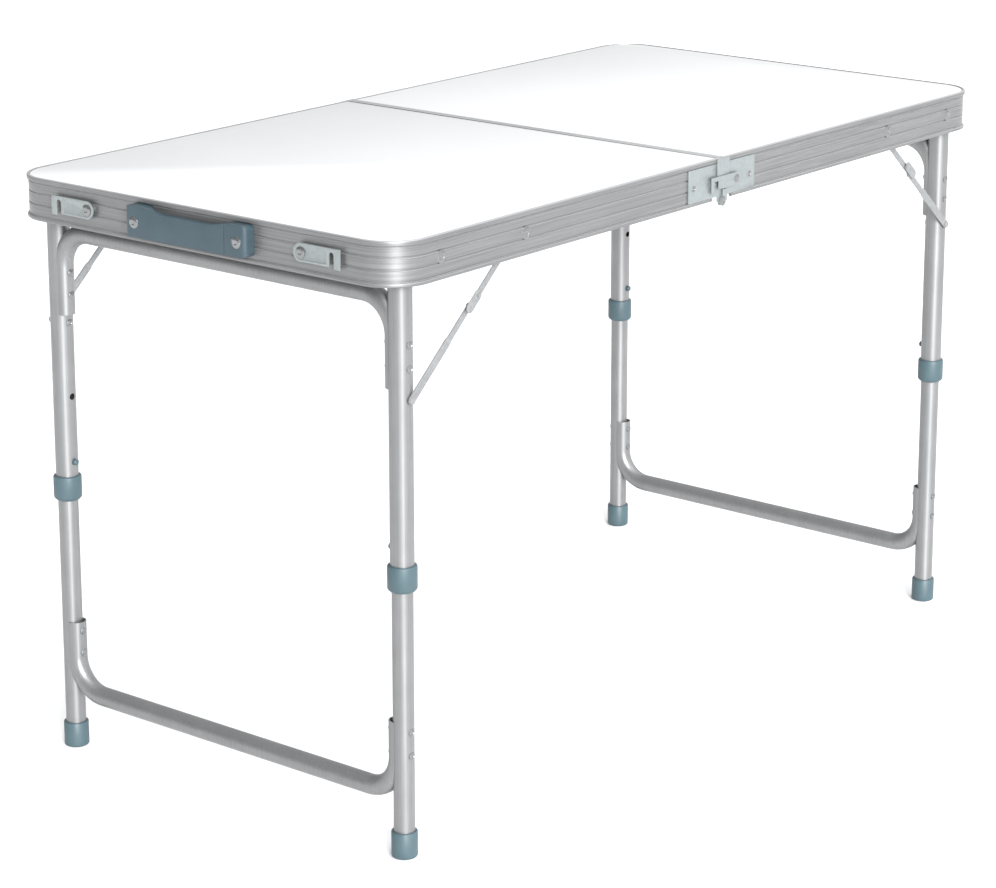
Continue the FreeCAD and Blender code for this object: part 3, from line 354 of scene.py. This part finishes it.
def brushed_extrusion(name, top_sheen, lines_scale, broad_scale, attribute=None):
    """Extruded metal with fine drawn lines that follow its run, and a painted highlight that lightens
    its upper face.
    """
    material, tree, shader = new_material(name)
    lines = coordinates(tree, lines_scale, attribute)
    broad = coordinates(tree, broad_scale, attribute)
    cloud = coordinates(tree, (1, 1, 1))
    fine = noise(tree, lines, 1.0, 4.0, 0.62)
    wide = noise(tree, broad, 1.0, 3.0, 0.55)
    colour = ramp(tree, fine, ((0.175, 0.176, 0.177), (0.345, 0.346, 0.348)), 0.25, 0.75)
    shade = ramp(tree, wide, ((0.78, 0.78, 0.785), (1, 1, 1)), 0.3, 0.7)
    handled = ramp(tree, noise(tree, cloud, 9.0, 4.0), ((0.94, 0.94, 0.94), (1, 1, 1)))
    grained = multiply(tree, multiply(tree, colour, shade), handled)
    # Upward faces are mixed towards a lighter colour: a painted highlight, not a finish of the metal.
    tree.links.new(painted_top_sheen(tree, grained, top_sheen), shader.inputs["Base Color"])
    tree.links.new(between(tree, wide, 0.4, 0.5), shader.inputs["Roughness"])
    tree.links.new(bump(tree, fine, 0.00006, 0.8), shader.inputs["Normal"])
    shader.inputs["Metallic"].default_value = 0.72
    stretch_up(tree, shader, 0.5)
    return material


def satin_tube():
    """Drawn tube: satin metal with faint lines along Z and a slow change of gloss."""
    material, tree, shader = new_material("satin_tube")
    lines = coordinates(tree, (700.0, 700.0, 6.0))
    cloud = coordinates(tree, (1, 1, 1))
    fine = noise(tree, lines, 1.0, 3.0)
    colour = ramp(tree, fine, ((0.23, 0.232, 0.234), (0.29, 0.292, 0.294)), 0.25, 0.75)
    mottle = ramp(tree, noise(tree, cloud, 30.0, 4.0), ((0.93, 0.93, 0.93), (1, 1, 1)))
    tree.links.new(multiply(tree, colour, mottle), shader.inputs["Base Color"])
    tree.links.new(between(tree, noise(tree, cloud, 25.0, 3.0), 0.4, 0.47), shader.inputs["Roughness"])
    tree.links.new(bump(tree, fine, 0.00001, 0.3), shader.inputs["Normal"])
    shader.inputs["Metallic"].default_value = 0.75
    stretch_up(tree, shader, 0.5)
    return material


def zinc_sheet(name, dull, clear):
    """Zinc-plated sheet: faint spangles, rubbed patches and a cool tint."""
    material, tree, shader = new_material(name)
    place = coordinates(tree, (1, 1, 1))
    cells = tree.nodes.new("ShaderNodeTexVoronoi")
    cells.inputs["Scale"].default_value = 260.0
    tree.links.new(place, cells.inputs["Vector"])
    spangle = ramp(tree, cells.outputs["Color"], (dull, clear), 0.0, 1.0)
    dust = ramp(tree, noise(tree, place, 60.0, 4.0), ((0.93, 0.933, 0.933), (1, 1, 1)))
    tree.links.new(multiply(tree, spangle, dust), shader.inputs["Base Color"])
    tree.links.new(between(tree, noise(tree, place, 200.0, 4.0), 0.34, 0.46), shader.inputs["Roughness"])
    tree.links.new(bump(tree, noise(tree, place, 1200.0, 3.0), 0.00002, 0.4), shader.inputs["Normal"])
    shader.inputs["Metallic"].default_value = 0.55
    return material


def bright_rivet():
    """Rivet metal: bright, with fine marks and a slow change of tone."""
    material, tree, shader = new_material("bright_rivet")
    place = coordinates(tree, (1, 1, 1))
    tone = ramp(tree, noise(tree, place, 700.0, 4.0), ((0.2, 0.204, 0.208), (0.3, 0.304, 0.308)))
    tree.links.new(tone, shader.inputs["Base Color"])
    tree.links.new(between(tree, noise(tree, place, 500.0, 3.0), 0.2, 0.32), shader.inputs["Roughness"])
    tree.links.new(bump(tree, noise(tree, place, 2200.0, 2.0), 0.00002, 0.4), shader.inputs["Normal"])
    shader.inputs["Metallic"].default_value = 0.9
    return material


def spring_strip():
    """Blued spring strip with faint lines along Z."""
    material, tree, shader = new_material("spring_strip")
    place = coordinates(tree, (300.0, 300.0, 20.0))
    tone = ramp(tree, noise(tree, place, 1.0, 3.0), ((0.16, 0.17, 0.19), (0.3, 0.31, 0.33)))
    tree.links.new(tone, shader.inputs["Base Color"])
    tree.links.new(between(tree, noise(tree, place, 2.0, 2.0), 0.3, 0.45), shader.inputs["Roughness"])
    shader.inputs["Metallic"].default_value = 0.9
    return material


def moulded_plastic(name, dark, light, low_gloss, high_gloss):
    """Moulded plastic: a fine spark-eroded texture, slight flow marks and scuffs."""
    material, tree, shader = new_material(name)
    place = coordinates(tree, (1, 1, 1))
    flow = ramp(tree, noise(tree, place, 45.0, 4.0), (dark, light))
    speck = ramp(tree, noise(tree, place, 1600.0, 2.0), ((0.93, 0.93, 0.93), (1, 1, 1)))
    tree.links.new(multiply(tree, flow, speck), shader.inputs["Base Color"])
    gloss = between(tree, noise(tree, place, 90.0, 4.0), low_gloss, high_gloss)
    tree.links.new(gloss, shader.inputs["Roughness"])
    tree.links.new(bump(tree, noise(tree, place, 1900.0, 3.0), 0.00006, 0.6), shader.inputs["Normal"])
    return material


# The lighter colour that the extrusion's upward faces are mixed towards: a painted highlight.
EXTRUSION_TOP_SHEEN = (0.5, 0.503, 0.507)
ZINC_TONES = (0.255, 0.281, 0.285), (0.288, 0.314, 0.317)
BRACE_TONES = (0.24, 0.245, 0.25), (0.3, 0.305, 0.31)
BLUE_GREY_TONES = (0.047, 0.083, 0.098), (0.057, 0.097, 0.112)
HANDLE_TONES = (0.029, 0.052, 0.067), (0.037, 0.063, 0.077)
GRAIN_LINES = (7.0, 1500.0, 1.0), (3.0, 330.0, 1.0)
RAIL_LINES = (1500.0, 7.0, 1500.0), (330.0, 3.0, 330.0)

MATERIALS = {
    "white_board": laminate(),
    "edge_extrusion": brushed_extrusion("brushed_extrusion", EXTRUSION_TOP_SHEEN, *GRAIN_LINES, "grain"),
    "tube_metal": satin_tube(),
    "zinc_steel": zinc_sheet("zinc_sheet", *ZINC_TONES),
    "brace_steel": zinc_sheet("brace_strip", *BRACE_TONES),
    "rivet_steel": bright_rivet(),
    "spring_steel": spring_strip(),
    "grey_plastic": moulded_plastic("blue_grey_plastic", *BLUE_GREY_TONES, 0.4, 0.55),
    "handle_plastic": moulded_plastic("handle_plastic", *HANDLE_TONES, 0.36, 0.5),
}

RAIL_METAL = brushed_extrusion("brushed_rail", EXTRUSION_TOP_SHEEN, *RAIL_LINES)


# ---- the edge extrusion ----

def groove_points(drop, half, deep):
    """A groove across the wall's face, with eased lips."""
    profile = ((0.0, 1.0), (GROOVE_LIP, 0.8), (deep, 0.45))
    upper = [(WALL_FACE + depth, drop - half * share) for depth, share in profile]
    lower = [(WALL_FACE + depth, drop + half * share) for depth, share in reversed(profile)]
    return upper + lower


def full_section(ledge=True, bead=True):
    """The extrusion's section with rolled beads, as (depth, drop) points, starting inside the wall."""
    low_edge = SECTION_DEPTH - LOW_BEAD
    points = [(WALL_BACK, INSIDE_START)]
    if ledge:
        points += [(WALL_BACK, LEDGE_LOW), (LEDGE_DEPTH, LEDGE_LOW), (LEDGE_DEPTH, LEDGE_HIGH)]
    points += [(WALL_BACK, LEDGE_HIGH)]
    points += arc((3.2, 0.8), 0.8, 0, -90, 5)
    points += arc((1.7, 1.7), 1.7, -90, -180, 9)
    points += arc((1.0, TOP_BEAD - 1.0), 1.0, 180, 90, 5)
    points += [(WALL_FACE, TOP_BEAD)]
    for drop, half, deep in GROOVES:
        points += groove_points(drop, half, deep)
    if bead:
        points += [(WALL_FACE, low_edge)]
        points += arc((0.9, low_edge + 0.9), 0.9, -90, -180, 5)
        points += arc((1.6, SECTION_DEPTH - 1.6), 1.6, 180, 90, 8)
        points += arc((2.8, SECTION_DEPTH - 1.2), 1.2, 90, 0, 6)
    else:
        points += [(WALL_FACE, low_edge - SEAM_END_RISE), (WALL_BACK, low_edge - SEAM_END_RISE)]
    return [(x * MM, y * MM) for x, y in points]


def side_stations(leaf, near, start, end):
    """Two stations on a straight side, from one distance from the seam to another."""
    turn = 1 if leaf == "a" else -1
    sign = -1 if near else 1
    outward = Vector((0, sign * turn, 0))
    return [(Vector((-run * turn, sign * HALF_WIDTH * turn, 0)), outward, run) for run in (start, end)]


def ring_stations(leaf):
    """Stations round the three sides of a leaf, from the near seam end to the far one."""
    turn = 1 if leaf == "a" else -1
    quarter = CORNER * math.radians(90)
    stations = [(Vector((-LEDGE_CUT, -HALF_WIDTH, 0)), Vector((0, -1, 0)), LEDGE_CUT)]
    centre_x = -HALF_LENGTH + CORNER
    run = -centre_x
    for centre_y, start in ((-HALF_WIDTH + CORNER, -90), (HALF_WIDTH - CORNER, -180)):
        for step in range(CORNER_STEPS + 1):
            angle = math.radians(start - 90 * step / CORNER_STEPS)
            outward = Vector((math.cos(angle), math.sin(angle), 0))
            place = Vector((centre_x, centre_y, 0)) + outward * CORNER
            stations.append((place, outward, run + quarter * step / CORNER_STEPS))
        run += quarter + 2 * (HALF_WIDTH - CORNER)
    last_run = run - CORNER + HALF_LENGTH - LEDGE_CUT
    stations.append((Vector((-LEDGE_CUT, HALF_WIDTH, 0)), Vector((0, 1, 0)), last_run))
    return [(Vector((place.x * turn, place.y * turn, 0)), outward * turn, run)
            for place, outward, run in stations]


def edge_extrusion(leaf):
    """A leaf's edge: the ring with its ledge, then at each seam end the plain wall and the cut bead."""
    node = f"skirt_frame_{leaf}"
    body = body_of_node(node)
    material = MATERIALS["edge_extrusion"]
    ring = sweep(f"edge_{leaf}", full_section(), ring_stations(leaf))
    add_piece(f"edge_{leaf}", ring, body, material, [node])
    for near in (True, False):
        side = "near" if near else "far"
        plain = sweep(f"edge_{leaf}_{side}_step", full_section(ledge=False),
                      side_stations(leaf, near, BEAD_NOTCH, LEDGE_CUT))
        add_piece(f"edge_{leaf}_{side}_step", plain, body, material)
        end = sweep(f"edge_{leaf}_{side}_end", full_section(ledge=False, bead=False),
                    side_stations(leaf, near, SEAM_GAP, BEAD_NOTCH))
        add_piece(f"edge_{leaf}_{side}_end", end, body, material)


# ---- every other node: rounded edges and its slot's material ----

# The radius in mm of the sharp edges of the nodes whose names start so.
ROUNDING = {
    "table_board": 0.25, "centre_rail": 0.25, "leg_brackets": 0.4, "hinge_plates": 0.35,
    "closing_hook": 0.35, "lock_lever": 0.3, "carrying_handle": 1.3, "brace": 0.25,
    "skirt_rivets": 0.2, "handle_rivets": 0.2, "hook_rivets": 0.2, "lever_rivets": 0.2,
    "catch_studs": 0.2, "lock_studs": 0.2, "hinge_pins": 0.15, "snap_button": 0.2,
    "leg_a_rivets": 0.15, "leg_b_rivets": 0.15, "foot_a_rivets": 0.15, "foot_b_rivets": 0.15,
    "leg_a_collars": 0.3, "leg_b_collars": 0.3, "foot_a_caps": 0.4, "foot_b_caps": 0.4,
}


def rounding_of(node):
    """The edge radius of a node in metres, or None where the CAD mesh is used as it is."""
    found = [width for start, width in ROUNDING.items() if node.startswith(start)]
    return found[0] * MM if found else None


for name, source in frame["nodes"].items():
    slot_name = slot_of(name)
    width = rounding_of(name)
    if name.startswith("skirt_frame"):
        continue
    material = RAIL_METAL if name.startswith("centre_rail") else MATERIALS[slot_name]
    if width is None:
        source.data.materials.clear()
        source.data.materials.append(material)
        continue
    segments = HANDLE_SEGMENTS if name == "carrying_handle" else BEVEL_SEGMENTS
    fine = refined(name, width, segments)
    add_piece(f"{name}_fine", fine, body_of_node(name), material, [name])

edge_extrusion("a")
edge_extrusion("b")


# ---- floor, light and camera ----

def stage_floor():
    """A plain pale floor under the feet."""
    bpy.ops.mesh.primitive_plane_add(size=FLOOR_SIZE, location=(0, 0, cad_low.z))
    floor = bpy.context.object
    floor.name = "floor"
    material, tree, shader = new_material("floor_paint")
    place = coordinates(tree, (1, 1, 1))
    tone = ramp(tree, noise(tree, place, 2.0, 2.0), ((0.9, 0.9, 0.9), (0.915, 0.915, 0.915)))
    tree.links.new(tone, shader.inputs["Base Color"])
    shader.inputs["Roughness"].default_value = 0.9
    shader.inputs["Specular IOR Level"].default_value = 0.1
    floor.data.materials.append(material)


def soft_sun(name, azimuth, elevation, energy, spread):
    """A distant soft light. The azimuth is counted from -X towards -Y."""
    light = bpy.data.lights.new(name, "SUN")
    light.energy = energy
    light.angle = math.radians(spread)
    lamp = bpy.data.objects.new(name, light)
    around = math.radians(azimuth)
    flat = math.cos(math.radians(elevation))
    rise = math.sin(math.radians(elevation))
    towards = Vector((-math.cos(around) * flat, -math.sin(around) * flat, rise))
    lamp.location = towards * LAMP_DISTANCE
    lamp.rotation_mode = "QUATERNION"
    lamp.rotation_quaternion = (-towards).to_track_quat("-Z", "Y")
    bpy.context.scene.collection.objects.link(lamp)


def studio_world():
    """A studio that is bright on one side and dim on the other."""
    world = bpy.data.worlds.new("studio")
    bpy.context.scene.world = world
    world.use_nodes = True
    tree = world.node_tree
    direction = tree.nodes.new("ShaderNodeTexCoord")
    facing = tree.nodes.new("ShaderNodeVectorMath")
    facing.operation = "DOT_PRODUCT"
    facing.inputs[1].default_value = WORLD_BRIGHT_SIDE
    tree.links.new(direction.outputs["Generated"], facing.inputs[0])
    spread = tree.nodes.new("ShaderNodeMapRange")
    spread.interpolation_type = "SMOOTHSTEP"
    spread.inputs["From Min"].default_value = -WORLD_SPREAD
    spread.inputs["From Max"].default_value = WORLD_SPREAD
    spread.inputs["To Min"].default_value = WORLD_DIM
    spread.inputs["To Max"].default_value = WORLD_BRIGHT
    tree.links.new(facing.outputs["Value"], spread.inputs["Value"])
    tree.nodes["Background"].inputs["Color"].default_value = WORLD_COLOUR
    tree.links.new(spread.outputs["Result"], tree.nodes["Background"].inputs["Strength"])


def studio_light():
    """A low key light on the near corner, a high soft fill, and the studio round them."""
    studio_world()
    soft_sun("key", azimuth=54, elevation=19, energy=5.2, spread=26)
    soft_sun("fill", azimuth=104, elevation=58, energy=1.0, spread=50)


def photo_camera():
    """The camera of the view that the table was built from: a long lens, above and to the left."""
    data = bpy.data.cameras.new("camera")
    camera = bpy.data.objects.new("camera", data)
    bpy.context.scene.collection.objects.link(camera)
    turn = Matrix.Rotation(math.radians(CAMERA_YAW), 4, "Z")
    tilt = Matrix.Rotation(math.radians(90) + math.radians(CAMERA_PITCH), 4, "X")
    roll = Matrix.Rotation(math.radians(CAMERA_ROLL), 4, "Z")
    camera.matrix_world = Matrix.Translation(CAMERA_PLACE) @ (turn @ tilt @ roll)
    data.sensor_width = CAMERA_SENSOR
    data.lens = CAMERA_LENS
    data.shift_x, data.shift_y = CAMERA_SHIFT
    data.clip_start, data.clip_end = CAMERA_CLIP
    bpy.context.scene.camera = camera


stage_floor()
studio_light()
photo_camera()
bpy.context.scene.view_settings.view_transform = "Standard"
bpy.context.view_layer.update()
